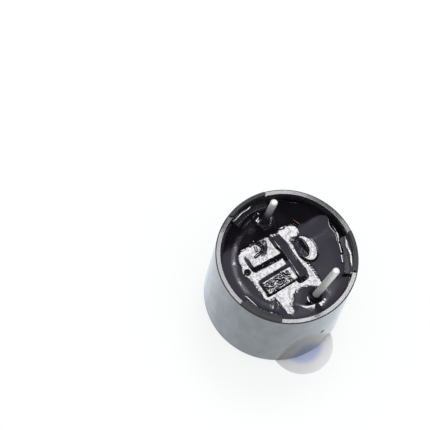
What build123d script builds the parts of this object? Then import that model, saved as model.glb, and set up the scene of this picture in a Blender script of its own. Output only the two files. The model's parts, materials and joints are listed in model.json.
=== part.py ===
from build123d import *
import os
from math import cos, hypot, radians, sin, tan

os.makedirs("parts", exist_ok=True)

# Round electromagnetic buzzer, 12 mm across, with its own drive circuit.
# It rests on its sound-hole side, with the pins up, as it does on a bench before it is soldered.
# Millimetres. +Z runs along the case axis towards the pin tips.
# z = 0 is the outer face of the paper seal, on the case axis.
# +X runs from the negative pin towards the positive pin.

# Case, outside
case_diameter = 12.0
case_height = 9.5
front_edge_radius = 0.3
rim_chamfer = 0.08
foot_height = 0.2
foot_arc = 37.0
foot_spacing = 120.0
first_foot_angle = 60.0
foot_width = 0.33
foot_inset = 0.06
foot_end_radius = 0.14
case_turn = 2.5

# Case, inside
wall = 0.45
front_wall = 1.0
sound_hole_diameter = 2.2
sound_hole_chamfer = 0.15
cavity_diameter = 8.2
cavity_depth = 1.3
stack_bore_diameter = 9.8
rib_thickness = 0.6
rib_drop = 0.7
rib_edge_radius = 0.2
gate_mark_height = 4.7
gate_mark_angle = 0.0
gate_mark_radius = 0.2
gate_mark_depth = 0.06

# Seal over the sound hole
seal_thickness = 0.1
seal_radius = 5.5
seal_offset = 0.4
tab_radius = 2.77
tab_reach = 4.97
tab_angle = -4.3
tab_neck_radius = 0.5

# Diaphragm and magnet system
ring_clearance = 0.1
support_ring_wall = 0.45
seat_recess = 0.25
seat_lip = 0.22
seat_thickness = 0.3
diaphragm_thickness = 0.1
diaphragm_clearance = 0.08
weight_diameter = 3.2
weight_thickness = 0.45
air_gap = 0.35
magnet_height = 1.85
magnet_width = 1.1
magnet_clearance = 0.05
yoke_thickness = 0.8
core_diameter = 1.8
stake_diameter = 2.6
stake_height = 0.3
iron_edge = 0.1
bobbin_clearance = 0.05
bobbin_tube_wall = 0.25
bobbin_flange = 0.2
bobbin_flange_diameter = 5.9
bobbin_drop = 0.1
winding_clearance = 0.06
winding_edge = 0.12

# Circuit board and what it carries
board_thickness = 0.8
board_clearance = 0.1
notch_clearance = 0.1
pin_hole_clearance = 0.1
lead_hole_clearance = 0.1
transistor_size = (1.3, 2.5, 1.05)
transistor_place = (-1.35, -1.6)
transistor_lead_size = (0.5, 0.4, 0.12)
transistor_lead_spread = 0.95
capacitor_size = (1.5, 2.5, 1.05)
capacitor_place = (1.1, -1.6)
capacitor_cap_length = 0.4
capacitor_cap_growth = 0.03
resistor_size = (2.0, 1.25, 0.6)
resistor_place = (-0.2, 2.25)
resistor_turn = -11.0
diode_diameter = 1.1
diode_length = 3.5
diode_cap_length = 0.45
diode_cap_growth = 0.04
chip_edge = 0.06

# Pins
pin_pitch = 7.6
pin_line_offset = 0.42
pin_diameter = 0.6
pin_tail = 0.1
pin_tip_radius = 0.12
pin_lean_direction = 35.0
positive_pin_lean = 6.9
negative_pin_lean = 3.4
positive_pin_reach = 4.95
negative_pin_reach = 3.27
pin_bend_radius = 4.0
solder_radius = 0.85
solder_height = 0.75
solder_neck = 0.12

# Coil leads, three fine wires from the winding to pads on the board
lead_diameter = 0.12
lead_names = ("coil_lead_supply", "coil_lead_collector", "coil_lead_base")
lead_angles = (129.0, 215.0, 325.0)
lead_pad_reach = 0.75
lead_bend_radius = 0.15
lead_pad_gap = 0.05
blob_radius = 0.4
blob_height = 0.3
blob_slope = 35.0

# Potting compound
potting_drop = 1.45
meniscus_climb = 0.5
meniscus_width = 0.65
level_radius = 2.0
bowl_rise = 0.1
cover_margin = 0.2
cover_height = 0.17
cover_corner = 0.35
cover_inset = 0.2
cover_root = 0.1
ridge_margin = 0.13
ridge_overrun = 0.3
collar_radius = 0.95
collar_height = 0.35
collar_slope = 42.0
dome_size = (3.0, 1.75)
dome_height = 0.16
dome_slope = 50.0
bubble_place = (-0.9, -3.2)
bubble_radius = 0.2
bubble_depth = 0.14

# Angles that follow
foot_angles = [case_turn + first_foot_angle + n * foot_spacing for n in range(3)]
gate_angle = radians(case_turn + gate_mark_angle)

# Heights that follow
case_radius = case_diameter / 2
z_front = seal_thickness
z_feet = z_front + case_height
z_land = z_feet - foot_height
z_front_inside = z_front + front_wall
z_shoulder = z_front_inside + cavity_depth
z_seat = z_shoulder + seat_recess
z_pole = z_seat + air_gap
z_magnet = z_pole + magnet_clearance
z_yoke = z_magnet + magnet_height
z_yoke_back = z_yoke + yoke_thickness
z_board = z_yoke_back + stake_height
z_board_back = z_board + board_thickness
z_potting = z_land - potting_drop
z_rib = z_land - rib_drop
z_collar = z_potting + collar_height

# Radii that follow
mouth_radius = case_radius - wall
stack_radius = stack_bore_diameter / 2
cavity_radius = cavity_diameter / 2
rib_radius = mouth_radius - rib_thickness
ring_radius = stack_radius - ring_clearance
magnet_radius = ring_radius - support_ring_wall - magnet_clearance
diaphragm_radius = ring_radius - seat_lip - diaphragm_clearance
core_radius = core_diameter / 2
bobbin_bore = core_radius + bobbin_clearance
winding_inner = bobbin_bore + bobbin_tube_wall
bobbin_radius = bobbin_flange_diameter / 2
winding_outer = bobbin_radius - winding_clearance
board_radius = mouth_radius - board_clearance
pin_radius = pin_diameter / 2
lead_radius = lead_diameter / 2
lead_lane = (bobbin_radius + magnet_radius - magnet_width) / 2
foot_outer = case_radius - foot_inset
foot_inner = foot_outer - foot_width


def arc_band(inner, outer, middle_angle, arc):
    """Outline of a piece of a flat ring, from inner to outer radius, centred on middle_angle."""
    with BuildSketch() as band:
        with BuildLine():
            near = CenterArc((0, 0), inner, middle_angle - arc / 2, arc)
            far = CenterArc((0, 0), outer, middle_angle - arc / 2, arc)
            Line(near @ 0, far @ 0)
            Line(near @ 1, far @ 1)
        make_face()
    return band.sketch


def finish(builder, name):
    """Label a finished sub-part and write its file."""
    builder.part.label = name
    export_step(builder.part, f"parts/{name}.step")


# Case: a moulded cup, open at the pin end, with three feet on the rim and three inner ribs
with BuildPart() as case:
    with BuildSketch(Plane.XZ) as cup_section:
        with BuildLine():
            Polyline(
                (sound_hole_diameter / 2, z_front),
                (case_radius, z_front),
                (case_radius, z_land),
                (mouth_radius, z_land),
                (mouth_radius, z_board),
                (stack_radius, z_board),
                (stack_radius, z_shoulder),
                (cavity_radius, z_shoulder),
                (cavity_radius, z_front_inside),
                (sound_hole_diameter / 2, z_front_inside),
                close=True,
            )
        make_face()
    revolve(axis=Axis.Z)
    round_edges = case.edges().filter_by(GeomType.CIRCLE)
    front_edges = round_edges.group_by(Axis.Z)[0].sort_by(SortBy.RADIUS)
    land_edges = round_edges.group_by(Axis.Z)[-1].sort_by(SortBy.RADIUS)
    fillet(front_edges[-1], front_edge_radius)
    chamfer(land_edges[-1], rim_chamfer)
    with BuildSketch(Plane.XY.offset(z_board)) as rib_outline:
        for angle in foot_angles:
            add(arc_band(rib_radius, mouth_radius + wall / 2, angle, foot_arc))
        rib_corners = rib_outline.vertices().filter_by(lambda v: hypot(v.X, v.Y) < mouth_radius)
        fillet(rib_corners, rib_edge_radius)
    extrude(amount=z_rib - z_board)
    with BuildSketch(Plane.XY.offset(z_land - rim_chamfer)) as foot_outline:
        for angle in foot_angles:
            add(arc_band(foot_inner, foot_outer, angle, foot_arc))
        fillet(foot_outline.vertices(), foot_end_radius)
    extrude(amount=foot_height + rim_chamfer)
    hole_mouth = case.edges().filter_by(GeomType.CIRCLE).group_by(Axis.Z)[0].sort_by(SortBy.RADIUS)[0]
    chamfer(hole_mouth, sound_hole_chamfer)
    gate_plane = Plane(
        origin=(
            case_radius * cos(gate_angle),
            case_radius * sin(gate_angle),
            gate_mark_height,
        ),
        z_dir=(cos(gate_angle), sin(gate_angle), 0),
    )
    with BuildSketch(gate_plane):
        Circle(gate_mark_radius)
    extrude(amount=-gate_mark_depth, mode=Mode.SUBTRACT)
finish(case, "case")

# Seal: a paper disc with a round pull tab, stuck over the sound hole and peeled off after washing
with BuildPart() as seal_label:
    with BuildSketch() as seal_outline:
        with Locations((-seal_offset, 0)):
            Circle(seal_radius)
        with Locations((tab_reach * cos(radians(tab_angle)), tab_reach * sin(radians(tab_angle)))):
            Circle(tab_radius)
        neck = seal_outline.vertices().sort_by(Axis.X)[-2:]
        fillet(neck, tab_neck_radius)
    extrude(amount=seal_thickness)
finish(seal_label, "seal_label")

# Diaphragm: a thin iron disc that the magnet pulls on to its seat
with BuildPart() as diaphragm:
    with BuildSketch(Plane.XY.offset(z_seat - diaphragm_thickness)):
        Circle(diaphragm_radius)
    extrude(amount=diaphragm_thickness)
finish(diaphragm, "diaphragm")

# Weight: an iron slug on the middle of the diaphragm, which tunes it
with BuildPart() as diaphragm_weight:
    with BuildSketch(Plane.XY.offset(z_seat - diaphragm_thickness)):
        Circle(weight_diameter / 2)
    extrude(amount=-weight_thickness)
    chamfer(diaphragm_weight.faces().sort_by(Axis.Z)[0].edges(), weight_thickness / 4)
finish(diaphragm_weight, "diaphragm_weight")

# Support ring: seats the diaphragm and spaces the yoke from the case's shoulder
with BuildPart() as support_ring:
    with BuildSketch(Plane.XZ) as ring_section:
        with BuildLine():
            Polyline(
                (ring_radius - seat_lip, z_shoulder),
                (ring_radius, z_shoulder),
                (ring_radius, z_yoke),
                (ring_radius - support_ring_wall, z_yoke),
                (ring_radius - support_ring_wall, z_seat + seat_thickness),
                (cavity_radius, z_seat + seat_thickness),
                (cavity_radius, z_seat),
                (ring_radius - seat_lip, z_seat),
                close=True,
            )
        make_face()
    revolve(axis=Axis.Z)
finish(support_ring, "support_ring")

# Magnet: a bonded ring around the coil
with BuildPart() as ring_magnet:
    with BuildSketch(Plane.XY.offset(z_yoke)):
        Circle(magnet_radius)
        Circle(magnet_radius - magnet_width, mode=Mode.SUBTRACT)
    extrude(amount=-(magnet_height - seat_thickness))
    chamfer(ring_magnet.faces().sort_by(Axis.Z)[0].edges(), iron_edge)
finish(ring_magnet, "ring_magnet")

# Yoke: the iron plate behind the coil, with a hole for the core and three for the coil leads
lead_places = [(lead_lane * cos(radians(a)), lead_lane * sin(radians(a))) for a in lead_angles]
with BuildPart() as yoke_plate:
    with BuildSketch(Plane.XY.offset(z_yoke)):
        Circle(ring_radius)
        Circle(core_radius, mode=Mode.SUBTRACT)
        with Locations(*lead_places):
            Circle(lead_radius + lead_hole_clearance, mode=Mode.SUBTRACT)
    extrude(amount=yoke_thickness)
finish(yoke_plate, "yoke_plate")

# Core: the iron pole inside the coil, staked over behind the yoke
with BuildPart() as pole_core:
    with BuildSketch(Plane.XY.offset(z_pole)):
        Circle(core_radius)
    extrude(amount=z_yoke_back - z_pole)
    with BuildSketch(Plane.XY.offset(z_yoke_back)):
        Circle(stake_diameter / 2)
    extrude(amount=stake_height)
    chamfer(pole_core.faces().sort_by(Axis.Z)[0].edges(), iron_edge)
finish(pole_core, "pole_core")

# Bobbin: a thin flanged spool on the core
with BuildPart() as bobbin:
    with BuildSketch(Plane.XZ):
        with BuildLine():
            z_bobbin = z_pole + bobbin_drop
            Polyline(
                (bobbin_bore, z_bobbin),
                (bobbin_radius, z_bobbin),
                (bobbin_radius, z_bobbin + bobbin_flange),
                (winding_inner, z_bobbin + bobbin_flange),
                (winding_inner, z_yoke - bobbin_flange),
                (bobbin_radius, z_yoke - bobbin_flange),
                (bobbin_radius, z_yoke),
                (bobbin_bore, z_yoke),
                close=True,
            )
        make_face()
    revolve(axis=Axis.Z)
finish(bobbin, "bobbin")

# Winding: enamelled wire on the bobbin, as one closed mass
with BuildPart() as coil_winding:
    with BuildSketch(Plane.XY.offset(z_bobbin + bobbin_flange)):
        Circle(winding_outer)
        Circle(winding_inner, mode=Mode.SUBTRACT)
    extrude(amount=z_yoke - bobbin_flange - z_bobbin - bobbin_flange)
    chamfer(coil_winding.edges().filter_by(GeomType.CIRCLE).sort_by(SortBy.RADIUS)[-2:], winding_edge)
finish(coil_winding, "coil_winding")

# Circuit board: a round board on the case's ledge, notched where the ribs pass
pin_places = [(-pin_pitch / 2, pin_line_offset), (pin_pitch / 2, pin_line_offset)]
with BuildPart() as circuit_board:
    with BuildSketch(Plane.XY.offset(z_board)):
        Circle(board_radius)
        with Locations(*pin_places):
            Circle(pin_radius + pin_hole_clearance, mode=Mode.SUBTRACT)
        with Locations(*lead_places):
            Circle(lead_radius + lead_hole_clearance, mode=Mode.SUBTRACT)
    extrude(amount=board_thickness)
    notch_arc = foot_arc + 2 * notch_clearance / rib_radius * 57.3
    with BuildSketch(Plane.XY.offset(z_board)):
        for angle in foot_angles:
            add(arc_band(rib_radius - notch_clearance, case_radius, angle, notch_arc))
    extrude(amount=board_thickness, mode=Mode.SUBTRACT)
finish(circuit_board, "circuit_board")


# Transistor: a three-legged chip that switches the winding
with BuildPart() as drive_transistor:
    with BuildSketch(Plane.XY.offset(z_board_back)):
        with Locations(transistor_place):
            Rectangle(transistor_size[0], transistor_size[1])
    extrude(amount=transistor_size[2])
    chamfer(drive_transistor.faces().sort_by(Axis.Z)[-1].edges(), chip_edge)
    leg_x = (transistor_size[0] + transistor_lead_size[0]) / 2
    leg_places = [
        (transistor_place[0] - leg_x, transistor_place[1] - transistor_lead_spread),
        (transistor_place[0] - leg_x, transistor_place[1] + transistor_lead_spread),
        (transistor_place[0] + leg_x, transistor_place[1]),
    ]
    with BuildSketch(Plane.XY.offset(z_board_back)):
        with Locations(*leg_places):
            Rectangle(transistor_lead_size[0], transistor_lead_size[1])
    extrude(amount=transistor_lead_size[2])
finish(drive_transistor, "drive_transistor")

# Capacitor: a ceramic block with two metal end caps
with BuildPart() as chip_capacitor:
    with BuildSketch(Plane.XY.offset(z_board_back)):
        with Locations(capacitor_place):
            Rectangle(capacitor_size[0], capacitor_size[1])
    extrude(amount=capacitor_size[2])
    cap_y = (capacitor_size[1] - capacitor_cap_length) / 2
    with BuildSketch(Plane.XY.offset(z_board_back)):
        with Locations(
            (capacitor_place[0], capacitor_place[1] - cap_y),
            (capacitor_place[0], capacitor_place[1] + cap_y),
        ):
            Rectangle(capacitor_size[0] + 2 * capacitor_cap_growth, capacitor_cap_length)
    extrude(amount=capacitor_size[2] + capacitor_cap_growth)
finish(chip_capacitor, "chip_capacitor")

# Resistor: a flat chip that feeds the transistor
with BuildPart() as bias_resistor:
    with BuildSketch(Plane.XY.offset(z_board_back)):
        with Locations(Location((resistor_place[0], resistor_place[1], 0), (0, 0, resistor_turn))):
            Rectangle(resistor_size[0], resistor_size[1])
    extrude(amount=resistor_size[2])
    chamfer(bias_resistor.faces().sort_by(Axis.Z)[-1].edges(), chip_edge)
finish(bias_resistor, "bias_resistor")

# Diode: a small glass cylinder with end caps, between the two pins
with BuildPart() as clamp_diode:
    diode_axis = Plane(
        origin=(-diode_length / 2, pin_line_offset, z_board_back + diode_diameter / 2 + diode_cap_growth),
        x_dir=(0, 1, 0),
        z_dir=(1, 0, 0),
    )
    with BuildSketch(diode_axis):
        Circle(diode_diameter / 2)
    extrude(amount=diode_length)
    with BuildSketch(diode_axis, diode_axis.offset(diode_length - diode_cap_length)):
        Circle(diode_diameter / 2 + diode_cap_growth)
    extrude(amount=diode_cap_length)
finish(clamp_diode, "clamp_diode")


# Pins: tinned leads that stand upright in the board, bend at the potting and lean to one side;
# each is held by a concave cone of solder
pin_way = Vector(cos(radians(pin_lean_direction)), sin(radians(pin_lean_direction)), 0)
pin_parts = []
for pin_name, pin_place, pin_lean, pin_reach in (
    ("negative_pin", pin_places[0], negative_pin_lean, negative_pin_reach),
    ("positive_pin", pin_places[1], positive_pin_lean, positive_pin_reach),
):
    bend_height = pin_bend_radius * sin(radians(pin_lean))
    bend_side = pin_bend_radius * (1 - cos(radians(pin_lean)))
    shaft_height = z_feet + pin_reach - z_collar
    pin_root = Vector(pin_place[0], pin_place[1], z_board - pin_tail)
    bend_start = Vector(pin_place[0], pin_place[1], z_collar - bend_height)
    bend_end = bend_start + pin_way * bend_side + Vector(0, 0, bend_height)
    pin_tip = bend_end + pin_way * (shaft_height * tan(radians(pin_lean))) + Vector(0, 0, shaft_height)
    with BuildPart() as pin:
        with BuildLine():
            Line(pin_root, bend_start)
            TangentArc(bend_start, bend_end, tangent=(0, 0, 1))
            Line(bend_end, pin_tip)
        with BuildSketch(Plane.XY.offset(z_board - pin_tail)):
            with Locations(pin_place):
                Circle(pin_radius)
        sweep()
        fillet(pin.edges().group_by(Axis.Z)[-1], pin_tip_radius)
    finish(pin, pin_name)
    pin_parts.append(pin.part)
    with BuildPart() as pin_solder:
        with BuildSketch(Plane.XZ.offset(-pin_place[1])):
            with BuildLine():
                cone_rim = (pin_place[0] + solder_radius, z_board_back)
                cone_neck = (pin_place[0] + pin_radius + solder_neck, z_board_back + solder_height)
                Polyline(
                    cone_rim,
                    (pin_place[0] + pin_radius, z_board_back),
                    (pin_place[0] + pin_radius, z_board_back + solder_height),
                    cone_neck,
                )
                SagittaArc(cone_neck, cone_rim, solder_neck)
            make_face()
        revolve(axis=Axis((pin_place[0], pin_place[1], 0), (0, 0, 1)))
    finish(pin_solder, f"{pin_name}_solder")
    pin_parts.append(pin_solder.part)

# Coil leads: each runs up beside the winding and is soldered to a pad just outside its hole
lead_parts = []
blob_parts = []
for lead_name, lead_angle in zip(lead_names, lead_angles):
    out_way = Vector(cos(radians(lead_angle)), sin(radians(lead_angle)), 0)
    z_lead = z_bobbin + bobbin_flange + 2 * lead_diameter
    z_pad = z_board_back + lead_radius + lead_pad_gap
    with BuildPart() as coil_lead:
        with BuildLine() as lead_route:
            FilletPolyline(
                out_way * lead_lane + Vector(0, 0, z_lead),
                out_way * lead_lane + Vector(0, 0, z_pad),
                out_way * (lead_lane + lead_pad_reach) + Vector(0, 0, z_pad),
                radius=lead_bend_radius,
            )
        with BuildSketch(Plane.XY.offset(z_lead)):
            with Locations((out_way.X * lead_lane, out_way.Y * lead_lane)):
                Circle(lead_radius)
        sweep()
    finish(coil_lead, lead_name)
    lead_parts.append(coil_lead.part)
    pad_place = out_way * (lead_lane + lead_pad_reach * 0.7)
    with BuildPart() as lead_solder:
        with BuildSketch(Plane.XY.offset(z_board_back)):
            with Locations((pad_place.X, pad_place.Y)):
                Circle(blob_radius)
        extrude(amount=blob_height, taper=blob_slope)
        add(coil_lead.part, mode=Mode.SUBTRACT)
    finish(lead_solder, lead_name.replace("coil_lead", "lead_solder"))
    blob_parts.append(lead_solder.part)

# Potting: black compound poured over the board; it wets the wall, the pins and the chips
ridge_radius = diode_diameter / 2 + ridge_margin
ridge_centre = Vector(0, pin_line_offset, z_board_back + diode_diameter / 2 + diode_cap_growth)
ridge_reach = diode_length / 2 + ridge_overrun - ridge_radius
with BuildPart() as potting:
    with BuildSketch(Plane.XZ):
        with BuildLine():
            level_end = (level_radius, z_potting)
            bowl_end = (mouth_radius - meniscus_width, z_potting + bowl_rise)
            wall_top = (mouth_radius, z_potting + meniscus_climb)
            Polyline(
                wall_top,
                (mouth_radius, z_board_back),
                (0, z_board_back),
                (0, z_potting),
                level_end,
            )
            bowl = TangentArc(level_end, bowl_end, tangent=(1, 0))
            TangentArc(bowl_end, wall_top, tangent=bowl % 1)
        make_face()
    revolve(axis=Axis.Z)
    for size, place in ((transistor_size, transistor_place), (capacitor_size, capacitor_place)):
        foot_size = (size[0] + 2 * cover_margin, size[1] + 2 * cover_margin)
        with BuildSketch(Plane.XY.offset(z_potting - cover_root)):
            with Locations(place):
                RectangleRounded(foot_size[0], foot_size[1], cover_corner)
        with BuildSketch(Plane.XY.offset(z_potting + cover_height)):
            with Locations(place):
                RectangleRounded(foot_size[0] - 2 * cover_inset, foot_size[1] - 2 * cover_inset, cover_corner)
        loft()
    with BuildSketch(Plane(origin=ridge_centre, x_dir=(1, 0, 0), z_dir=(0, -1, 0))):
        with BuildLine():
            Line((-ridge_reach - ridge_radius, 0), (ridge_reach + ridge_radius, 0))
            RadiusArc((ridge_reach + ridge_radius, 0), (ridge_reach, ridge_radius), -ridge_radius)
            Line((ridge_reach, ridge_radius), (-ridge_reach, ridge_radius))
            RadiusArc((-ridge_reach, ridge_radius), (-ridge_reach - ridge_radius, 0), -ridge_radius)
        make_face()
    revolve(axis=Axis(ridge_centre, (1, 0, 0)))
    with BuildSketch(Plane.XY.offset(z_potting - cover_root)):
        with Locations(Location((resistor_place[0], resistor_place[1], 0), (0, 0, resistor_turn))):
            SlotOverall(dome_size[0], dome_size[1])
    extrude(amount=dome_height + cover_root, taper=dome_slope)
    for place in pin_places:
        with BuildSketch(Plane.XY.offset(z_potting - cover_root)):
            with Locations(place):
                Circle(collar_radius)
        extrude(amount=collar_height + cover_root, taper=collar_slope)
    with Locations((bubble_place[0], bubble_place[1], z_potting + bubble_radius - bubble_depth)):
        Sphere(bubble_radius, mode=Mode.SUBTRACT)
    for angle in foot_angles:
        with BuildSketch(Plane.XY.offset(z_board_back)):
            add(arc_band(rib_radius, case_radius, angle, foot_arc))
        extrude(amount=z_rib - z_board_back, mode=Mode.SUBTRACT)
    for piece in (
        drive_transistor.part,
        chip_capacitor.part,
        bias_resistor.part,
        clamp_diode.part,
        circuit_board.part,
        *pin_parts,
        *lead_parts,
        *blob_parts,
    ):
        add(piece, mode=Mode.SUBTRACT)
finish(potting, "potting")
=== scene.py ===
import json
import math

import bpy
import numpy as np
from mathutils import Matrix, Vector


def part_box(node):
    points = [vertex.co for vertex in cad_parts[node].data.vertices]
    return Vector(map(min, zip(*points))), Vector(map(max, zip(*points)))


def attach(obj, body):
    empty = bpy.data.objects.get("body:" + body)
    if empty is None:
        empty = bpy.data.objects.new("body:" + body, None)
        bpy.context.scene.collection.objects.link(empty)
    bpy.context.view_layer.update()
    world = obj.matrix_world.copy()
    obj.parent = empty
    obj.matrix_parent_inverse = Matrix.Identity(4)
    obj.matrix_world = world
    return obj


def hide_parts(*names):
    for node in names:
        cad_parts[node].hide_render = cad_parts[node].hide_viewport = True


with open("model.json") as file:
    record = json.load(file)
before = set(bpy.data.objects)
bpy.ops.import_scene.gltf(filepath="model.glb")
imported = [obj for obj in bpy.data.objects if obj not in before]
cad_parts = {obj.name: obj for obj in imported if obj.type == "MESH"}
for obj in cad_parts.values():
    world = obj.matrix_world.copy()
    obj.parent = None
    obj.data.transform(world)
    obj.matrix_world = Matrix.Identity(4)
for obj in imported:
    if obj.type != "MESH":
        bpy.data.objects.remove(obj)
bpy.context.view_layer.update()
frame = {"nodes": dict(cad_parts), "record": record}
MM = 0.001

# %% [markdown]
# Measures of the object
#
# Each name is a size that can be pointed at on the buzzer. The outermost ones are read from the
# loaded solids, so the new surfaces sit exactly where the CAD model says. The buzzer lies on its
# sound hole: its front is below, at the seal, and its feet and pins point up.
# %% measures
case_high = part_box("case")[1]
R_CASE = case_high.x / MM
WALL = 0.45
R_MOUTH = R_CASE - WALL
R_RIB = R_MOUTH - 0.6
Z_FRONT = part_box("seal_label")[1].z / MM
Z_FOOT = case_high.z / MM
Z_LAND = Z_FOOT - 0.2
Z_RIB = Z_LAND - 0.7
Z_SUNK = 6.8  # safely below the resin's surface
FOOT_AT = (62.5, 182.5, 302.5)  # degrees around the axis; each rib lies inside a foot
FOOT_ARC = 37.0
FOOT_OUT = R_CASE - 0.06
FOOT_IN = FOOT_OUT - 0.33
GATE_AT, GATE_Z = 2.5, 4.7  # where the moulding gate left its mark: degrees, and height
NEGATIVE_PIN = (-3.8, 0.42)
POSITIVE_PIN = (3.8, 0.42)
print("case radius", round(R_CASE, 3), "land", round(Z_LAND, 3), "front", round(Z_FRONT, 3))

# %% [markdown]
# From formulas to meshes
#
# Every new piece is smooth and curved, and a formula says its shape better than dragged points
# would. A surface is written as three arrays X, Y, Z over a grid of two parameters. Neighbouring
# grid points become the corners of quads. `wrap` closes the grid along its second parameter, which
# is what a shape that runs once around an axis needs.
# %% grid to mesh
def grid_faces(rows, columns, wrap, first=0):
    """Quads of a rows x columns grid: corner (i, j), (i, j+1), (i+1, j+1), (i+1, j)."""
    last = columns if wrap else columns - 1
    i, j = np.meshgrid(np.arange(rows - 1), np.arange(last), indexing="ij")
    k = (j + 1) % columns
    corners = [i * columns + j, i * columns + k, (i + 1) * columns + k, (i + 1) * columns + j]
    return first + np.stack(corners, -1).reshape(-1, 4)


def make_mesh(name, points, quads):
    """A smooth-shaded object at the origin from millimetre points and quads of point numbers."""
    mesh = bpy.data.meshes.new(name)
    mesh.vertices.add(len(points))
    mesh.vertices.foreach_set("co", (np.asarray(points) * MM).astype(np.float32).ravel())
    mesh.loops.add(quads.size)
    mesh.loops.foreach_set("vertex_index", quads.astype(np.int32).ravel())
    mesh.polygons.add(len(quads))
    mesh.polygons.foreach_set("loop_start", np.arange(0, quads.size, 4, dtype=np.int32))
    mesh.polygons.foreach_set("loop_total", np.full(len(quads), 4, np.int32))
    mesh.update(calc_edges=True)
    mesh.validate()
    mesh.shade_smooth()
    obj = bpy.data.objects.new(name, mesh)
    bpy.context.scene.collection.objects.link(obj)
    return obj


def stack_grids(grids):
    """Joins several (X, Y, Z, wrap) grids into one list of points and quads."""
    points, quads, first = [], [], 0
    for x, y, z, wrap in grids:
        points.append(np.stack([x, y, z], -1).reshape(-1, 3))
        quads.append(grid_faces(*x.shape, wrap, first))
        first += x.size
    return np.concatenate(points), np.concatenate(quads)


print("mesh helpers ready")

# %% [markdown]
# Soft steps
#
# Real edges and dents fade in and out. Two curves do that everywhere below: a step with level
# ends, and a bump.
# %% soft steps
def smooth(t):
    """3 t^2 - 2 t^3 between 0 and 1: an S-curve with level ends."""
    t = np.clip(t, 0, 1)
    return t * t * (3 - 2 * t)


def hill(d, width):
    """exp(-(d / width)^2): a soft bump around d = 0."""
    return np.exp(-((d / width) ** 2))


print("half-way up the step:", float(smooth(0.5)), "top of the bump:", float(hill(0.0, 1.0)))

# %% [markdown]
# Case: a turned profile
#
# The case is a deep moulded cup with a smooth wall. A cylinder with a bevel would give its shape,
# but not rows where a fine mark needs them. So its wall is one outline in the (radius, height)
# plane, swung around the axis. The outline is a chain of straight runs and quarter rounds, each
# sampled finely enough that a gloss reflection runs over it without a step. On the wall its rows
# are closest around the gate mark.
# %% case outline
def run(a, b, n):
    """n points on the straight line from a to b."""
    t = np.linspace(0, 1, n)[:, None]
    return np.array(a) * (1 - t) + np.array(b) * t


def quarter(centre, radius, start, end, n=9):
    """n points on a circular arc about centre, angles in degrees."""
    t = np.radians(np.linspace(start, end, n))
    return np.stack([centre[0] + radius * np.cos(t), centre[1] + radius * np.sin(t)], -1)


front = 0.3  # radius of the round between the front face and the wall
lip = 0.09  # the same at the land, outside
inner_lip = 0.05  # and inside
outside_hole = 1.25  # the front face starts outside the sound hole, under the seal
band = 0.36  # half the height of the finer rows at the gate mark
gap = 0.04  # between one run's last row and the next run's first
profile = np.concatenate(
    [
        run((outside_hole, Z_FRONT), (R_CASE - front, Z_FRONT), 12),
        quarter((R_CASE - front, Z_FRONT + front), front, -90, 0),
        run((R_CASE, Z_FRONT + front + 0.05), (R_CASE, GATE_Z - band - gap), 16),
        run((R_CASE, GATE_Z - band), (R_CASE, GATE_Z + band), 19),
        run((R_CASE, GATE_Z + band + gap), (R_CASE, Z_LAND - lip - 0.02), 18),
        quarter((R_CASE - lip, Z_LAND - lip), lip, 0, 90, 7),
        run((R_CASE - lip - 0.02, Z_LAND), (R_MOUTH + inner_lip + 0.02, Z_LAND), 8),
        quarter((R_MOUTH + inner_lip, Z_LAND - inner_lip), inner_lip, 90, 180, 6),
        run((R_MOUTH, Z_LAND - inner_lip - 0.03), (R_MOUTH, Z_SUNK + 0.05), 30),
        run((R_MOUTH - 0.04, Z_SUNK), (R_RIB + 0.05, Z_SUNK), 4),
    ]
)
print("points in the outline:", len(profile))

# %% [markdown]
# Case: the swing, the worn land and the gate mark
#
# Swinging the outline gives a perfect cup. The real land between the feet isn't perfect: it waves
# by a few microns and falls outwards on two stretches, which is why those look duller. The gate
# mark is a small round dent in the wall. Both could be bumps in the material, but then the
# exported mesh would lack them. Here they move points.
# %% case skin
fine_arc = 3.0  # degrees on each side of the gate mark where the columns are twice as close
fine = np.arange(GATE_AT - fine_arc, GATE_AT + fine_arc, 0.375)
coarse = np.arange(GATE_AT + fine_arc, GATE_AT - fine_arc + 360, 0.75)
turn = np.radians(np.concatenate([fine, coarse]))
pr, pt = np.meshgrid(profile[:, 0], turn, indexing="ij")
pz = np.repeat(profile[:, 1][:, None], len(turn), 1)

on_land = smooth((pz - Z_LAND + 0.2) / 0.2) * smooth((pr - R_MOUTH) / 0.05)
tilted = hill(np.degrees(pt) - 108, 30) + 1.1 * hill(np.degrees(pt) - 207, 18)
wave = 0.004 * (1 + np.sin(7 * pt))
pz = pz - on_land * (wave + 0.045 * tilted * (pr - R_MOUTH) / WALL)

from_gate = np.hypot((pt - math.radians(GATE_AT)) * R_CASE, pz - GATE_Z)
dent = 0.06 * smooth((0.21 - from_gate) / 0.09)
pr = pr - dent * (pr > R_CASE - 0.01)
points, quads = stack_grids([(pr * np.cos(pt), pr * np.sin(pt), pz, True)])
case_skin = make_mesh("case_skin", points, quads)
print("case skin quads:", len(quads))

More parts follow.
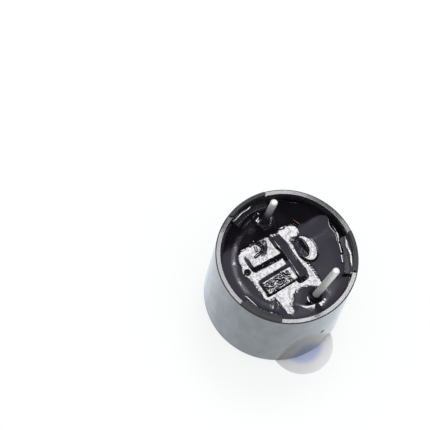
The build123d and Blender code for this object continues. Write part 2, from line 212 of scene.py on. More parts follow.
# %% [markdown]
# Feet and ribs
#
# Three feet stand on the land and keep the case off the board it is soldered to. Below each of
# them a rib juts into the mouth. They could be cut from a ring with booleans, which leaves ragged
# triangles at every round. In polar coordinates both are plain rounded boxes, so one function
# makes them. It lays a grid over the top and pulls its outer rows down to form the sides. The grid
# stops just short of the middle line, which leaves a slit there, 0.01 mm wide on a foot and 0.02 mm
# on a rib.
# %% feet and ribs
def arc_block(middle, arc, r_in, r_out, z_low, z_top, edge, corner):
    """A block bent around the axis. Its outline in (along, across) is a rounded rectangle;
    going inwards from the foot of the side, the surface climbs to z_top over a quarter round."""
    r_mid = (r_in + r_out) / 2
    half_long = math.radians(arc / 2) * r_mid
    half_wide = (r_out - r_in) / 2
    c = min(corner, half_wide * 0.999)
    corners = []
    for sx, sy, a0 in ((1, 1, 0), (-1, 1, 90), (-1, -1, 180), (1, -1, 270)):
        corners.append(quarter((sx * (half_long - c), sy * (half_wide - c)), c, a0, a0 + 90, 10))
    ring = np.concatenate(corners)
    spacing = 0.06
    dense = []
    for a, b in zip(ring, np.roll(ring, -1, 0)):
        steps = max(1, int(np.linalg.norm(b - a) / spacing))
        dense.append(run(a, b, steps + 1)[:-1])
    ring = np.concatenate(dense)
    t = np.linspace(0, np.pi / 2, 7)
    top = np.linspace(edge, half_wide * 0.97, 11)[1:]
    inset = np.concatenate([[0, 0], edge * (1 - np.cos(t)), top])[:, None]
    rise = z_top - edge + edge * np.sin(t)
    height = np.concatenate([[z_low, z_top - edge], rise, np.full(len(top), z_top)])
    along = np.sign(ring[:, 0]) * np.maximum(np.abs(ring[:, 0]) - inset, 0)
    across = ring[:, 1] * (1 - inset / half_wide)
    angle = math.radians(middle) + along / r_mid
    radius = r_mid + across
    z = np.repeat(height[:, None], len(ring), 1)
    return radius * np.cos(angle), radius * np.sin(angle), z, True


def worn(x, y, z, wrap):
    """A rib's top: it falls 0.17 mm per mm towards the axis, and a low string of spilt resin
    sways along it."""
    r, a = np.hypot(x, y), np.arctan2(y, x)
    top = smooth((z - Z_RIB + 0.1) / 0.1)
    sway = 0.10 * np.sin(9 * a) + 0.05 * np.sin(23 * a + 1)
    trail = 0.011 * hill(r - 5.40 - sway, 0.10)
    return x, y, z + top * (0.17 * (r - R_MOUTH) + trail), wrap


feet, ribs = [], []
for at in FOOT_AT:
    feet.append(arc_block(at, FOOT_ARC, FOOT_IN, FOOT_OUT, Z_LAND - 0.08, Z_FOOT, 0.045, 0.14))
    ribs.append(worn(*arc_block(at, FOOT_ARC, R_RIB, R_MOUTH + 0.2, Z_SUNK, Z_RIB, 0.06, 0.2)))
case_feet = make_mesh("case_feet", *stack_grids(feet))
case_ribs = make_mesh("case_ribs", *stack_grids(ribs))
print("feet and ribs:", len(case_feet.data.polygons), len(case_ribs.data.polygons))

# %% [markdown]
# Potting: a height over the plan
#
# The black resin was poured over the board and wetted everything it touched. Sculpting could
# follow it, but nobody could read or repair the result. Here its surface is a height h(x, y), a
# sum of terms with a cause each. A gloss surface shows its slopes and not its heights, so each
# term is written for the slope it gives. The lamp hangs where a level surface mirrors it to the
# camera: level resin looks white, and any slope over about 0.08 looks dark. First come distances
# to simple outlines. A signed distance is negative inside an outline and positive outside.
# %% distances
def box(x, y, x0, x1, y0, y1, corner):
    """Signed distance to a rounded rectangle."""
    qx = np.abs(x - (x0 + x1) / 2) - (x1 - x0) / 2 + corner
    qy = np.abs(y - (y0 + y1) / 2) - (y1 - y0) / 2 + corner
    beyond = np.hypot(np.maximum(qx, 0), np.maximum(qy, 0))
    return beyond + np.minimum(np.maximum(qx, qy), 0) - corner


def rod(x, y, a, b, radius):
    """Signed distance to a thick line with round ends from a to b."""
    ax, ay = a
    bx, by = b
    t = ((x - ax) * (bx - ax) + (y - ay) * (by - ay)) / ((bx - ax) ** 2 + (by - ay) ** 2)
    t = np.clip(t, 0, 1)
    return np.hypot(x - ax - t * (bx - ax), y - ay - t * (by - ay)) - radius


def oval(x, y, cx, cy, rx, ry):
    """Nearly the signed distance to an ellipse: k0 (k0 - 1) / k1, where k0 is the length of the
    point divided by the radii and k1 its length divided by their squares."""
    k0 = np.hypot((x - cx) / rx, (y - cy) / ry)
    k1 = np.hypot((x - cx) / rx**2, (y - cy) / ry**2) + 1e-9
    return k0 * (k0 - 1) / k1


def arc_line(x, y, px, py, radius, middle, arc):
    """Distance to a line along a circle about (px, py), `arc` degrees long around `middle`."""
    a = (np.degrees(np.arctan2(y - py, x - px)) - middle + 180) % 360 - 180
    past = np.radians(np.maximum(np.abs(a) - arc / 2, 0)) * radius
    return np.hypot(np.hypot(x - px, y - py) - radius, past)


def away_from_wall(x, y):
    """Distance in millimetres to the nearest inner wall or rib."""
    r = np.hypot(x, y)
    a = np.degrees(np.arctan2(y, x)) % 360
    d = R_MOUTH - r
    narrower = 1.5  # the wetted stretch of a rib ends this many degrees before the rib does
    for middle in FOOT_AT:
        off = (a - middle + 180) % 360 - 180
        beyond = np.radians(np.maximum(np.abs(off) - FOOT_ARC / 2 + narrower, 0)) * np.maximum(r, 1)
        d = np.minimum(d, np.hypot(np.maximum(R_RIB - r, 0), beyond))
    return d


print("a point near the axis is", round(float(away_from_wall(0.1, 0.1)), 2), "mm from the nearest rib")

# %% [markdown]
# Potting: fillets and waves
#
# Resin never meets itself at a sharp line, so outlines are united with a fillet. Its irregular
# edges come from a noise that is a sum of a few waves and the same on every run.
# %% fillets and waves
def join(a, b, blend):
    """Union of two signed distances with a fillet of about `blend` where they meet."""
    k = np.clip(0.5 + 0.5 * (b - a) / blend, 0, 1)
    return b * (1 - k) + a * k - blend * k * (1 - k)


def waves(x, y, length, seed, count=14):
    """Sum of `count` plane waves of about one length, in fixed pseudo-random directions."""
    pick = np.random.default_rng(seed)
    total = np.zeros_like(x)
    for turn, phase, stretch in zip(*pick.random((3, count))):
        k = 2 * np.pi / (length * (0.7 + 0.6 * stretch))
        along = x * np.cos(np.pi * turn) + y * np.sin(np.pi * turn)
        total += np.sin(k * along + 2 * np.pi * phase)
    return total / math.sqrt(count)


print("a fillet lowers the seam by", float(join(np.array(0.0), np.array(0.0), 0.4)))

# %% [markdown]
# Potting: where it lies level
#
# The level middle is the puddle between the chips. Its outline is a union of plain shapes: a wide
# field and a smaller one, two tongues, and the rim of a burst bubble. A round bite around the
# positive pin is taken out of it, where the resin climbs the solder, and a wedge at the end of
# the ridge.
# %% level field
BUBBLE = (-0.9, -3.2)


def level_field(x, y):
    """Signed distance to the outline of the level part of the resin. Far from the back tongue,
    on its right, distance counts for more, so that the resin stays steep behind the dome."""
    wide_field = (-2.6, 2.35, -3.15, 1.35, 0.75)
    small_field = (1.2, 3.25, -2.3, 1.45, 0.12)
    back_tongue = ((-2.15, 1.3), (-2.05, 2.1), 0.42)
    right_tongue = ((2.2, -2.0), (3.65, -2.0), 0.24)
    bite_x, bite_y, bite_radius = 3.9, -0.30, 1.48
    d = join(box(x, y, *wide_field), box(x, y, *small_field), 0.45)
    tongue = rod(x, y, *back_tongue)
    tongue = tongue + 0.4 * np.maximum(tongue - 0.4, 0) * smooth((x + 2.0) / 1.6)
    d = join(d, tongue, 0.05 + 0.3 * smooth((y - 2.3) / 1.2))
    d = join(d, rod(x, y, *right_tongue), 0.03)
    d = d - 0.80 * hill(np.hypot(x - BUBBLE[0], y - BUBBLE[1]), 0.40)
    wedge = np.minimum(1.2 * (-2.15 - x) - np.abs(y - 0.55), d + 0.25)
    bite = np.maximum(bite_radius - np.hypot(x - bite_x, y - bite_y), wedge)
    cut_corner = np.minimum(x - 2.0, -2.35 - y)
    d = np.maximum(-join(-d, -bite, 0.3), cut_corner)
    ragged = 0.05 * waves(x, y, 0.8, 3) + 0.04 * waves(x, y, 0.24, 4)
    return d + ragged * hill(d, 0.22)


between_chips = level_field(np.array(0.0), np.array(-1.0))
print("signed distance between the chips:", round(float(between_chips), 2))

# %% [markdown]
# Potting: over the parts it drowned
#
# The resin follows what lies under it. Two chips make level covers with sloping sides. The diode
# between the pins makes a ridge, and the resistor a dome whose lower half has sunk in.
# %% covers
def cover(x, y, x0, x1, y0, y1, rise, falls):
    """A chip's cover: level on top, falling over its own width on each side.
    falls is (left, right, lower, upper) in millimetres."""
    left, right, lower, upper = falls
    across = smooth((x - x0) / left) * smooth((x1 - x) / right)
    return rise * across * smooth((y - y0) / lower) * smooth((y1 - y) / upper)


def chips_height(x, y):
    """The covers of the transistor, whose right side slants, and of the capacitor."""
    slant = 0.08 * (y + 1.5) / 1.5
    transistor = (-2.75, -0.38 + slant, -2.87, 0.55, 0.11, (1.85, 0.62, 0.42, 0.5))
    capacitor = (0.14, 1.86, -3.02, 0.55, 0.14, (0.48, 0.14, 0.32, 0.5))
    return cover(x, y, *transistor) + cover(x, y, *capacitor)


def ridge_height(x, y):
    """The hump over the diode, in millimetres. Its crest has a rounded top at two places, which
    show as soft streaks, and falls away between them, so nothing is level in the middle."""
    streak_at = 1.4
    crest_y = 0.34 + 0.05 * np.cos(1.6 * x)
    wide_behind, wide_before = 0.78, 0.36
    crest = y - crest_y
    along = np.sqrt((np.abs(x) - streak_at) ** 2 + 0.04) - 0.2
    blunt = 0.012 + 0.13 * hill(np.abs(x) - streak_at, 0.40)
    wide = np.where(crest > 0, wide_behind, wide_before)
    across = (np.sqrt(crest**2 + blunt**2) - blunt) / wide
    ends = smooth((x + 2.75) / 0.7) * smooth((2.3 - x) / 0.5)
    return (0.20 - 0.09 * along) * np.maximum(1 - across, 0) ** 1.15 * ends


def dome_height(x, y):
    """The cover over the resistor: a level plateau, and in its lower half a hollow that climbs
    towards +Y in faint furrows. Gives how far a point is inside, and the height."""
    dome = (-0.05, 2.2, 1.30, 0.88)
    sunk = (-0.40, 1.84, 1.02, 0.62)
    plateau, most = 0.27, 0.34
    inside = smooth(-oval(x, y, *dome) / 0.13)
    hollow = smooth(-oval(x, y, *sunk) / 0.12)
    climb = 0.02 + 0.20 * (y - 1.35) + 0.40 * np.maximum(y - 2.0, 0) + 0.004 * np.sin(17 * y + x)
    return inside, plateau * (1 - hollow) + hollow * np.clip(climb, 0, most)


print("height of the ridge:", round(float(ridge_height(np.array(1.4), np.array(0.31))), 3), "mm")

# %% [markdown]
# Potting: the bowl
#
# Away from the puddle the resin climbs evenly to the wall. The slope is chosen so that it mirrors
# the dim room just outside the halo of the lamp. On the near side a shallow step makes the pale
# crescent, and at the wall the resin stands up in an uneven bead.
# %% bowl
CLIMB = 0.158  # millimetres up per millimetre out


def bowl_height(x, y):
    """CLIMB times the distance from the level field, rounded off at its edge, with the dome set
    into it, a steeper back left corner, the step on the near side and the bead at the wall."""
    out = np.maximum(level_field(x, y), 0)
    in_dome, dome = dome_height(x, y)
    h = CLIMB * (np.sqrt(out**2 + 0.012) - 0.11) * (1 - in_dome) + dome * in_dome
    soft = 0.40
    h += 0.12 * soft * np.logaddexp(0, (-x - 1.9) / soft) * smooth((y - 2.2) / 1.6)
    around = np.arctan2(y, x)
    near_side = smooth(-np.sin(around + 0.25) * 1.5)
    step = 0.022 + 0.010 * hill(around + 2.4, 0.4)
    h -= step * near_side * smooth((np.hypot(x, y) - 3.95) / 0.7)
    bead = 0.15
    for size, times, phase in ((0.03, 5, 1), (0.015, 13, 0), (0.008, 31, 0)):
        bead = bead + size * np.sin(times * around + phase)
    return h + bead * np.exp(-np.maximum(away_from_wall(x, y), 0) / 0.2)


behind_dome = bowl_height(np.array(1.5), np.array(4.0))
print("height of the bowl behind the dome:", round(float(behind_dome), 3), "mm")

# %% [markdown]
# Potting: marks of the pour
#
# Small things give a surface its scale. Furrows were dragged over the chips while the resin set,
# strings of it run from the negative pin and along the near wall, and here and there a spot came
# out level, which shows as a glint. Every mark is a short line, listed one by one.
# %% marks
FURROWS = (  # from, to, depth
    ((-2.80, -1.25), (-2.50, -0.88), 0.05),
    ((-2.50, -0.88), (-2.05, -0.82), 0.06),
    ((-2.05, -0.82), (-1.80, -1.15), 0.05),
    ((-1.80, -1.15), (-1.72, -1.80), 0.035),
    ((-2.45, -1.35), (-2.10, -1.45), 0.012),
    ((0.62, -0.85), (1.10, -0.62), 0.025),
    ((0.45, -2.85), (1.45, -2.88), 0.035),
)
STRINGS = (  # from, to, height
    ((-4.05, 1.35), (-3.0, 1.05), 0.05),
    ((-3.75, 1.25), (-3.3, 0.75), 0.05),
    ((-3.3, 0.75), (-3.3, 0.15), 0.05),
    ((3.5, -3.1), (2.6, -4.1), 0.04),
    ((2.6, -4.1), (0.8, -4.5), 0.03),
)
GLINTS = (  # from, to, half width
    ((-0.75, 5.20), (0.05, 5.14), 0.075),
    ((0.15, 5.12), (1.05, 4.77), 0.075),
    ((1.15, 4.73), (1.95, 4.37), 0.075),
    ((2.05, 4.32), (2.65, 3.98), 0.075),
    ((-4.8, 0.42), (-4.62, 0.46), 0.07),
    ((-4.42, 0.25), (-4.2, -0.05), 0.06),
    ((-2.98, -1.2), (-2.9, -1.2), 0.07),
)
PIN_GLINTS = (  # centre, radius, middle and arc in degrees, half width
    (3.98, 0.42, 0.72, 40, 12, 0.07),
    (3.98, 0.42, 0.70, 18, 12, 0.08),
    (3.92, 0.35, 0.66, -112, 14, 0.09),
    (3.92, 0.35, 0.66, -88, 14, 0.10),
    (3.92, 0.35, 0.62, -64, 12, 0.08),
)


def collar(x, y, px, py, climb, reach, one_sided):
    """Resin around a pin: climb * exp(-(d - 0.3) / reach), d being the distance from the axis of
    the pin. The share one_sided of it fades out from the side of +X to the other side."""
    d = np.hypot(x - px, y - py)
    facing = 0.5 + 0.5 * np.cos(np.arctan2(y - py, x - px))
    share = 1 - one_sided + one_sided * facing
    return climb * np.exp(-np.maximum(d - 0.3, 0) / reach) * share


def levelled(h, d):
    """Levels h where the signed distance d is negative, at the height it has there on average."""
    edge = 0.04
    patch = smooth(0.5 - d / (2 * edge))
    return h + patch * ((h * patch).sum() / (patch.sum() + 1e-9) - h)


print("marks:", len(FURROWS), len(STRINGS), len(GLINTS), len(PIN_GLINTS))

# %% [markdown]
# Potting: all of it together
#
# The terms are added. The level spots come after them, because each one flattens what is there,
# and the burst bubble is dented in last.
# %% resin height
def resin_height(x, y):
    """Height of the resin in millimetres above its level middle."""
    h = bowl_height(x, y) + np.maximum(chips_height(x, y), ridge_height(x, y))
    for a, b, deep in FURROWS:
        h -= deep * hill(rod(x, y, a, b, 0), 0.10)
    on_capacitor = smooth(-box(x, y, 0.62, 1.74, -2.7, -0.2, 0.1) / 0.12)
    h += 0.016 * on_capacitor * waves(x, y, 0.42, 9)
    h += collar(x, y, *POSITIVE_PIN, 0.40, 0.20, 0.0)
    h += collar(x, y, *NEGATIVE_PIN, 0.40, 0.25, 1.0)
    for a, b, rise in STRINGS:
        h += rise * hill(rod(x, y, a, b, 0), 0.06)
    for a, b, wide in GLINTS:
        h = levelled(h, rod(x, y, a, b, wide))
    for *line, wide in PIN_GLINTS:
        h = levelled(h, arc_line(x, y, *line) - wide)
    bubble = np.hypot(x - BUBBLE[0], y - BUBBLE[1])
    return h - 0.16 * hill(bubble, 0.17) + 0.010 * hill(bubble - 0.3, 0.08)


on_the_chip = resin_height(np.array([1.0]), np.array([-1.0]))
print("height on the capacitor's cover:", round(float(on_the_chip[0]), 3), "mm")

# %% [markdown]
# Potting: the mesh
#
# The grid is polar, so its outer row follows the round wall, and its rows are denser outwards,
# where the fine bead is. A square grid would meet the wall in steps. Heights are folded back at
# FOLD, so that nothing comes above the CAD solid. Two more rows close the shape from below, out of
# sight. The innermost row is a ring, so a pinhole 0.02 mm across is left in the middle. The mesh
# carries one number per point, levelness, which the finish reads later: level resin is more pitted.
# %% resin mesh
BASE_LEVEL = 7.92
FOLD = 0.55
Z_BOTTOM = 7.0
rows, columns = 172, 570
radius = R_MOUTH * 1.001 * np.linspace(0.0005, 1, rows) ** 0.85
turn = np.linspace(0, 2 * np.pi, columns, endpoint=False)
rr, tt = np.meshgrid(radius, turn, indexing="ij")
x, y = rr * np.cos(tt), rr * np.sin(tt)
z = BASE_LEVEL + FOLD - np.abs(FOLD - resin_height(x, y))

on_ridge = smooth(-rod(x, y, (-1.9, 0.5), (1.5, 0.5), 0.5) / 0.1)
near_level = smooth((0.40 - level_field(x, y)) / 0.4) * (1 - on_ridge)
levelness = np.maximum(near_level, dome_height(x, y)[0])
levelness = np.concatenate([levelness, np.zeros((2, columns))])

x, y = (np.concatenate([g, g[-1:], g[:1]]) for g in (x, y))
z = np.concatenate([z, np.full((2, columns), Z_BOTTOM)])
potting_skin = make_mesh("potting_skin", *stack_grids([(x, y, z, True)]))
mark = potting_skin.data.attributes.new("levelness", "FLOAT", "POINT")
mark.data.foreach_set("value", levelness.astype(np.float32).ravel())
print("resin from", round(float(z[:-2].min()), 3), "to", round(float(z.max()), 3))

# %% [markdown]
# A stray end of wire
#
# One hair of the enamelled coil wire sticks out of the resin. A bevelled curve could make it, but
# with the helpers above a tube is as short: circles along a slightly arched line, whose radius
# falls off steeply at both ends, so that they look round.
# %% coil lead end
t = np.linspace(0, 1, 25)[:, None]
around = np.linspace(0, 2 * np.pi, 8, endpoint=False)[None, :]
line_x = -2.80 + 0.72 * t
line_y = 2.78 + 0.16 * t + 0.12 * t**3
line_z = BASE_LEVEL + resin_height(line_x, line_y) + 0.03 + 0.03 * np.sin(np.pi * t)
thick = 0.024 * np.sqrt(np.clip(1.02 - (2 * t - 1) ** 8, 0.02, 1))
tube = (line_x + 0 * around, line_y + thick * np.cos(around), line_z + thick * np.sin(around), True)
lead_end = make_mesh("coil_lead_end", *stack_grids([tube]))
print("lead end z from", round(float(tube[2].min()), 3), "to", round(float(tube[2].max()), 3))

# %% [markdown]
# Shader arithmetic
#
# A node tree is a formula drawn as a graph. This class lets it be written as a formula: a `Wire`
# is a value that flows through the tree, arithmetic on it adds Math nodes, and `node` adds any
# other node. Plain numbers are set directly on the sockets. Placing and linking the same nodes by
# hand takes several lines for each sum and hides what is computed.
# %% wires
class Wire:
    """A value in one material's node tree."""

    def __init__(self, tree, socket=None):
        self.tree, self.socket = tree, socket

    def node(self, kind, out=0, settings=None, **inputs):
        """Adds a node. Inputs are named as on the node, with _ for a space, or n0, n1 by number."""
        made = self.tree.nodes.new("ShaderNode" + kind)
        for key, value in (settings or {}).items():
            setattr(made, key, value)
        for key, value in inputs.items():
            place = int(key[1:]) if key[1:].isdigit() else key.replace("_", " ")
            if isinstance(value, Wire):
                self.tree.links.new(value.socket, made.inputs[place])
            else:
                made.inputs[place].default_value = value
        return Wire(self.tree, made.outputs[out])

    def math(self, operation, *values):
        """A Math node on up to three values."""
        numbered = {f"n{i}": value for i, value in enumerate(values)}
        return self.node("Math", 0, {"operation": operation}, **numbered)

    def __add__(self, other):
        return self.math("ADD", self, other)

    def __radd__(self, other):
        return self.math("ADD", other, self)

    def __sub__(self, other):
        return self.math("SUBTRACT", self, other)

    def __rsub__(self, other):
        return self.math("SUBTRACT", other, self)

    def __mul__(self, other):
        return self.math("MULTIPLY", self, other)

    def __rmul__(self, other):
        return self.math("MULTIPLY", other, self)

    def __abs__(self):
        return self.math("ABSOLUTE", self)

    def largest(self, *others):
        """The largest of this value and the others."""
        most = self
        for other in others:
            most = self.math("MAXIMUM", most, other)
        return most

    def ramp(self, low, high):
        """0 below low, 1 above high, an S-curve between."""
        ends = {"Value": self, "From_Min": low, "From_Max": high}
        return self.node("MapRange", 0, {"interpolation_type": "SMOOTHSTEP"}, **ends)

    def mix(self, a, b):
        """Colour a where this is 0, colour b where it is 1."""
        a, b = (c if isinstance(c, Wire) else (*c, 1) for c in (a, b))
        return self.node("Mix", 2, {"data_type": "RGBA"}, n0=self, n6=a, n7=b)

    def axes(self):
        """The X, Y and Z of a vector."""
        split = self.node("SeparateXYZ", 0, None, n0=self).socket.node
        return [Wire(self.tree, output) for output in split.outputs]

    def vector(self, operation, other, out="Vector"):
        """A Vector Math node on this vector and another."""
        return self.node("VectorMath", out, {"operation": operation}, n0=self, n1=other)


print("operators ready")

# %% [markdown]
# Shader helpers
#
# Every finish starts from the same three things: a material, its shader, and a place on the
# object in millimetres. Object coordinates are used throughout, so a pattern stays with its piece.
# %% shader helpers
def start(name):
    """A new node material: the material, its Principled shader, and millimetre coordinates."""
    material = bpy.data.materials.new(name)
    material.use_nodes = True
    shader = material.node_tree.nodes["Principled BSDF"]
    metres = Wire(material.node_tree).node("TexCoord", "Object")
    place = metres.node("VectorMath", 0, {"operation": "SCALE"}, n0=metres, Scale=1 / MM)
    return material, shader, place


def plug(shader, wire, socket):
    """Connects a wire to one input of the shader."""
    wire.tree.links.new(wire.socket, shader.inputs[socket])


def noise(place, scale, detail=3.0, rough=0.5, stretch=None):
    """Fractal noise between 0 and 1 at `scale` features per millimetre."""
    if stretch:
        place = place.vector("MULTIPLY", stretch)
    return place.node("TexNoise", 0, None, Vector=place, Scale=scale, Detail=detail, Roughness=rough)


def bumped(shader, height, depth_mm, strength=1.0):
    """Feeds a height to the shader's Normal: a height of 1 stands depth_mm millimetres proud."""
    bump = height.node("Bump", 0, None, Height=height, Strength=strength, Distance=depth_mm * MM)
    plug(shader, bump, "Normal")


print("shader helpers ready")

# %% [markdown]
# Polished plastic
#
# The wall is moulded against a polished tool: nearly black, with a clear gloss that a soft haze
# breaks up, since no mould stays perfect. One roughness for all of it would look like glass, so
# streaks vary the base and a haze varies the coat over it. The land on top is a little duller,
# least so on the side of +X, and the gate mark is matt because it was torn off.
# %% polished plastic
def gloss_plastic():
    """Base Color and Roughness follow streaks that run up the wall; Coat Weight follows a haze."""
    material, shader, p = start("case_polished")
    streak = noise(p, 0.55, 4.0, 0.6, (1.0, 1.0, 0.25))
    haze = noise(p, 0.9, 5.0, 0.65, (1.0, 1.0, 0.45)).ramp(0.30, 0.70)
    speck = noise(p, 9.0, 2.0)
    grain = noise(p, 7.0, 3.0, 0.6)
    land = p.axes()[2].ramp(Z_LAND - 0.06, Z_LAND - 0.02)
    angle = math.radians(GATE_AT)
    torn_at = (R_CASE * math.cos(angle), R_CASE * math.sin(angle), GATE_Z)
    gate = 1.0 - p.vector("DISTANCE", torn_at, "Value").ramp(0.16, 0.26)
    clearer = p.vector("DOT_PRODUCT", (0.98, 0.17, 0), "Value").ramp(2.0, 6.0)
    duller = land * (0.14 - 0.08 * clearer)
    plug(shader, streak.mix((0.008, 0.008, 0.009), (0.020, 0.020, 0.023)), "Base Color")
    plug(shader, 0.08 + streak * 0.12 + duller + gate * 0.5, "Roughness")
    coat = 0.55 + 0.35 * haze + 0.10 * speck
    plug(shader, coat * (1.0 - land * 0.6) * (1.0 - gate), "Coat Weight")
    shader.inputs["Coat Roughness"].default_value = 0.06
    shader.inputs["IOR"].default_value = 1.65
    bumped(shader, streak * 0.7 + speck * 0.05 + land * grain, 0.03, 0.35)
    return material


polished = gloss_plastic()
print("nodes in the polished finish:", len(polished.node_tree.nodes))

# %% [markdown]
# Spark-eroded plastic
#
# The feet have the fine matt grain of a spark-eroded mould, a few hundredths of a millimetre
# deep. That is too fine for points of a mesh, so one noise gives both its colour and its height,
# and a slower one its roughness.
# %% spark-eroded plastic
def spark_plastic():
    """Grain colours and raises the surface; a slower patch varies its roughness."""
    material, shader, p = start("case_spark")
    grain = noise(p, 14.0, 3.0, 0.6)
    patch = noise(p, 1.2, 3.0)
    plug(shader, grain.mix((0.006, 0.006, 0.007), (0.060, 0.060, 0.064)), "Base Color")
    plug(shader, 0.42 + patch * 0.2, "Roughness")
    bumped(shader, grain, 0.03, 0.8)
    return material


spark = spark_plastic()
print("nodes in the spark-eroded finish:", len(spark.node_tree.nodes))

# %% [markdown]
# Resin
#
# Cured resin is the glossiest thing here. All that is wider than its pits is in the mesh, because
# a bump bends reflections only a little before they look wrong. What is left for the bump is a
# faint orange peel and the pits, which break up the edges of reflections, most of all where the
# level puddle ends.
# %% resin
def resin():
    """The bump is peel, stronger on level resin and at its border, plus pits on level resin,
    which come in patches."""
    material, shader, p = start("resin")
    cloud = noise(p, 0.7, 3.0)
    peel = noise(p, 5.5, 1.0, 0.4)
    pits = noise(p, 6.0, 0.0).ramp(0.22, 0.42)
    patch = noise(p, 1.1, 2.0).ramp(0.40, 0.62)
    level = p.node("Attribute", 2, {"attribute_name": "levelness"})
    border = level * (1.0 - level) * 4.0
    plug(shader, cloud.mix((0.0025, 0.002, 0.0035), (0.006, 0.005, 0.008)), "Base Color")
    plug(shader, 0.08 + cloud * 0.08, "Roughness")
    shader.inputs["Coat Weight"].default_value = 1.0
    shader.inputs["Coat Roughness"].default_value = 0.04
    relief = peel * (0.2 + level * 0.9 + border) + pits * level * (0.6 + 1.8 * patch)
    bumped(shader, relief, 0.012)
    return material


potting_resin = resin()
print("nodes in the resin:", len(potting_resin.node_tree.nodes))

# %% [markdown]
# Seal paper and its print
#
# The seal is white paper, printed below with a plus sign in a ring. An image could carry the
# print, but distances from its centre draw it sharp at any size. From above it only shines
# faintly through the tab.
# %% seal paper
PRINT_CENTRE = (4.96, -0.37)


def seal_paper():
    """Blue ink where the distance to a stroke is small: sharp below, and a weak blur of the ring
    above."""
    material, shader, p = start("seal_paper")
    fibre = noise(p, 5.0, 4.0, 0.6)
    px, py, pz = p.axes()
    dx, dy = px - PRINT_CENTRE[0], py - PRINT_CENTRE[1]
    far = p.math("SQRT", dx * dx + dy * dy)
    ring = 1.0 - abs(far - 1.40).ramp(0.08, 0.14)
    stroke_x, stroke_y = (1.0 - abs(d).ramp(0.08, 0.14) for d in (dx, dy))
    length_x, length_y = (1.0 - abs(d).ramp(0.85, 0.92) for d in (dx, dy))
    ink = ring.largest(stroke_x * length_y, stroke_y * length_x)
    below = 1.0 - pz.ramp(0.02, 0.06)
    through = 1.0 - abs(far - 1.35).ramp(0.05, 0.75)
    strength = (ink * below * 0.92).largest(through * 0.42 * (1.0 - below))
    white = fibre.mix((0.86, 0.87, 0.90), (0.93, 0.93, 0.95))
    plug(shader, strength.mix(white, (0.13, 0.32, 0.93)), "Base Color")
    plug(shader, 0.45 + fibre * 0.15, "Roughness")
    bumped(shader, fibre, 0.01, 0.3)
    return material


paper = seal_paper()
print("nodes in the seal paper:", len(paper.node_tree.nodes))

# %% [markdown]
# Tinned wire
#
# The pins are tinned, drawn wire. Resin has crept up them and left a dark stain, which ends
# raggedly and much higher on the negative pin than on the positive one. The two pins share one
# finish, and the sign of X tells it which stain to use.
# %% tinned wire
STAIN_NEGATIVE = (9.9, 13.9)  # heights between which the stain fades out
STAIN_POSITIVE = (7.8, 9.2)


def tinned():
    """The stain fades with height plus a noise; a noise drawn out along the wire is its bump."""
    material, shader, p = start("tinned_lead")
    px, _, pz = p.axes()
    positive = px.ramp(-1.0, 1.0)
    ends = [a + (b - a) * positive for a, b in zip(STAIN_NEGATIVE, STAIN_POSITIVE)]
    clean = (pz + noise(p, 2.2, 3.0) * 0.8).ramp(*ends)
    drawn = noise(p, 3.0, 4.0, 0.6, (3.0, 3.0, 0.5))
    bare = noise(p, 1.6, 3.0).mix((0.86, 0.85, 0.82), (0.70, 0.70, 0.69))
    plug(shader, clean.mix((0.035, 0.033, 0.038), bare), "Base Color")
    plug(shader, 0.34 + drawn * 0.2, "Roughness")
    shader.inputs["Metallic"].default_value = 0.5
    bumped(shader, drawn, 0.02, 0.3)
    return material


tin = tinned()
print("nodes in the tinned wire:", len(tin.node_tree.nodes))

# %% [markdown]
# Hidden pieces
#
# Board, chips, magnet, coil and the rest are under the resin or behind the seal. They keep the
# colours that the CAD record gives them, clouded a little so that none is flat.
# %% hidden pieces
METALS = {"soft_iron", "enamelled_copper", "solder"}


def plain(slot, colour):
    """The slot's own colour and a quarter darker, mixed by a cloud that also varies roughness."""
    material, shader, p = start("plain_" + slot)
    cloud = noise(p, 2.5, 4.0)
    dark = tuple(c * 0.75 for c in colour)
    plug(shader, cloud.mix(dark, colour), "Base Color")
    plug(shader, 0.4 + cloud * 0.15, "Roughness")
    shader.inputs["Metallic"].default_value = 1.0 if slot in METALS else 0.0
    bumped(shader, cloud, 0.02, 0.2)
    return material


record = frame["record"]
hidden = {entry["slot"]: plain(entry["slot"], entry["base_color"][:3]) for entry in record["materials"]}
print("plain finishes:", len(hidden))

# %% [markdown]
# Dressing
#
# Each CAD node gets the finish of its slot. The four finer surfaces ride on the same body as the
# solid they stand in for, and hide it. The stray end of wire is an addition, so it
# replaces nothing.
# %% dressing
finish_of = {
    "seal_paper": paper,
    "tinned_pin": tin,
    "case_plastic": polished,
    "potting_resin": potting_resin,
}
for part in record["subparts"]:
    obj = frame["nodes"][part["node"]]
    obj.data.materials.clear()
    obj.data.materials.append(finish_of.get(part["material_slot"], hidden[part["material_slot"]]))
for obj, material, node, slot in (
    (case_skin, polished, "case", "case_plastic"),
    (case_feet, spark, "case", "case_plastic"),
    (case_ribs, polished, "case", "case_plastic"),
    (potting_skin, potting_resin, "potting", "potting_resin"),
):
    obj.data.materials.append(material)
    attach(obj, "root")
    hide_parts(node)
lead_end.data.materials.append(hidden["enamelled_copper"])
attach(lead_end, "root")
print("materials:", len(bpy.data.materials))

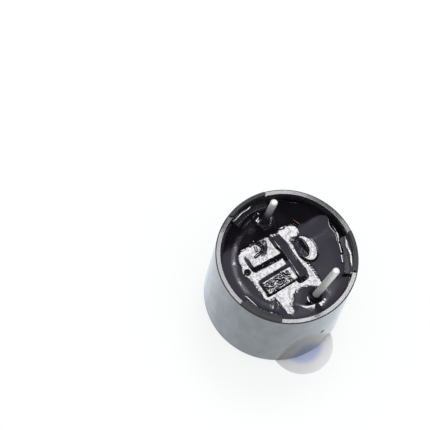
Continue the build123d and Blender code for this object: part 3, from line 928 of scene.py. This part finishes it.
# %% [markdown]
# Table
#
# The table is a large pale disc, a hundredth of a millimetre below the seal, so that the two don't
# lie in one plane. To the camera it is nearly pure white, yet it keeps a fifth of its shading, so
# the object's shadow stays. A brighter lamp would whiten it too, but would also bleach the
# object. Mirrored in the object it is a little bluer.
# %% table
def table():
    """Mixes the shaded disc with a white glow, for rays from the camera, a mirror or glass."""
    material, shader, p = start("table")
    tree = material.node_tree
    plug(shader, noise(p, 0.04, 2.0).mix((0.84, 0.87, 0.90), (0.88, 0.90, 0.93)), "Base Color")
    shader.inputs["Roughness"].default_value = 0.7
    rays = p.node("LightPath").socket.node.outputs
    camera_ray, mirror_ray, glass_ray = (
        Wire(tree, rays[f"Is {kind} Ray"]) for kind in ("Camera", "Glossy", "Transmission")
    )
    glow = p.node("Emission", 0, None, Color=mirror_ray.mix((1, 1, 1), (0.84, 0.92, 1.0)), Strength=1.0)
    seen = p.math("MINIMUM", camera_ray + mirror_ray + glass_ray, 1.0)
    blend = p.node("MixShader", 0, None, n0=seen * 0.8, n1=Wire(tree, shader.outputs[0]), n2=glow)
    plug(tree.nodes["Material Output"], blend, "Surface")
    return material


ring_r = np.array([0.0005, 20, 60, 200, 800])[:, None]
ring_t = np.linspace(0, 2 * np.pi, 96, endpoint=False)[None, :]
level_z = np.full((5, 96), -0.01)
points, quads = stack_grids([(ring_r * np.cos(ring_t), ring_r * np.sin(ring_t), level_z, True)])
floor = make_mesh("table_top", points, quads[:, ::-1])
floor.data.materials.append(table())
print("table radius", float(ring_r.max()) * MM, "m")

# %% [markdown]
# Lamp
#
# One softbox hangs where a level surface mirrors it to the camera, which is what makes glossy
# resin read as glossy: a lamp anywhere else would leave it dark. Its power follows from its area,
# so that its brightness stays what is asked for.
# %% lamp
MIDDLE = Vector((0, 0, 0.008))
SOFTBOX_AT = tuple(Vector((-0.27, 0.30, 0.92)).normalized())


def softbox(name, direction, distance, size, radiance):
    """A square area lamp that faces the object: power = radiance * pi * area."""
    lamp = bpy.data.lights.new(name, "AREA")
    lamp.shape = "SQUARE"
    lamp.size = size
    lamp.energy = radiance * math.pi * size**2
    obj = bpy.data.objects.new(name, lamp)
    bpy.context.scene.collection.objects.link(obj)
    obj.location = Vector(direction) * distance + MIDDLE
    obj.rotation_euler = (MIDDLE - obj.location).to_track_quat("-Z", "Y").to_euler()
    return lamp.energy


print("softbox of", round(softbox("softbox_main", SOFTBOX_AT, 0.5, 0.15, 10.0), 3), "W")

# %% [markdown]
# Room
#
# Everything dull is lit by an even white sky, which is the simplest soft light. Mirrored in black
# gloss, that sky would wash it out, so what the gloss mirrors is another room: dim, dimmer towards
# the horizon, dark overhead on the side of +X, and bright in a halo around the softbox.
# %% room
world = bpy.data.worlds.new("studio")
bpy.context.scene.world = world
world.use_nodes = True
sky = Wire(world.node_tree)
direction = sky.node("TexCoord", "Generated")
sideways, forward, upwards = direction.axes()
room = (1.0 - upwards.ramp(0.35, 0.80)).mix((0.48, 0.46, 0.59), (0.22, 0.21, 0.26))
to_lamp = direction.vector("DOT_PRODUCT", SOFTBOX_AT, "Value")
room = to_lamp.ramp(0.955, 0.996).mix(room, (1.3, 1.25, 1.45))
shade = (sideways - forward * 0.32).ramp(-0.19, -0.09) * upwards.ramp(0.45, 0.75)
room = shade.mix(room, (0.02, 0.018, 0.024))
mirrored = sky.node("LightPath", "Is Glossy Ray")
plug(world.node_tree.nodes["Background"], mirrored.mix((1.0, 1.0, 1.0), room), "Color")
print("nodes in the room:", len(world.node_tree.nodes))

# %% [markdown]
# Camera
#
# The camera's place was solved from the photograph: the ellipses of the rim and of the base fix
# its direction and distance. It looks along -d, with the object a little off its axis. The focal
# length was found in pixels of a frame 430 wide, and a 36 mm sensor turns it into millimetres.
# %% camera
AZIMUTH, ELEVATION, ROLL = (math.radians(v) for v in (-48.752, 66.354, 15.952))
DISTANCE, TO_RIGHT, TO_TOP = 191.347, -4.955, 7.007
FOCAL_PIXELS, FRAME_PIXELS, SENSOR = 2206.889, 430, 36.0
flat = math.cos(ELEVATION)
d = Vector((flat * math.cos(AZIMUTH), flat * math.sin(AZIMUTH), math.sin(ELEVATION)))
right0 = Vector((-math.sin(AZIMUTH), math.cos(AZIMUTH), 0))
up0 = d.cross(right0)
right = math.cos(ROLL) * right0 + math.sin(ROLL) * up0
up = -math.sin(ROLL) * right0 + math.cos(ROLL) * up0
spot = (d * DISTANCE + right * TO_RIGHT + up * TO_TOP) * MM
camera_data = bpy.data.cameras.new("camera")
camera = bpy.data.objects.new("camera", camera_data)
bpy.context.scene.collection.objects.link(camera)
camera.matrix_world = Matrix.Translation(spot) @ Matrix((right, up, d)).transposed().to_4x4()
camera_data.sensor_width = SENSOR
camera_data.lens = FOCAL_PIXELS * SENSOR / FRAME_PIXELS
camera_data.clip_start = 0.01
bpy.context.scene.camera = camera
bpy.context.scene.view_settings.view_transform = "Standard"
print("camera at", [round(v, 4) for v in spot])
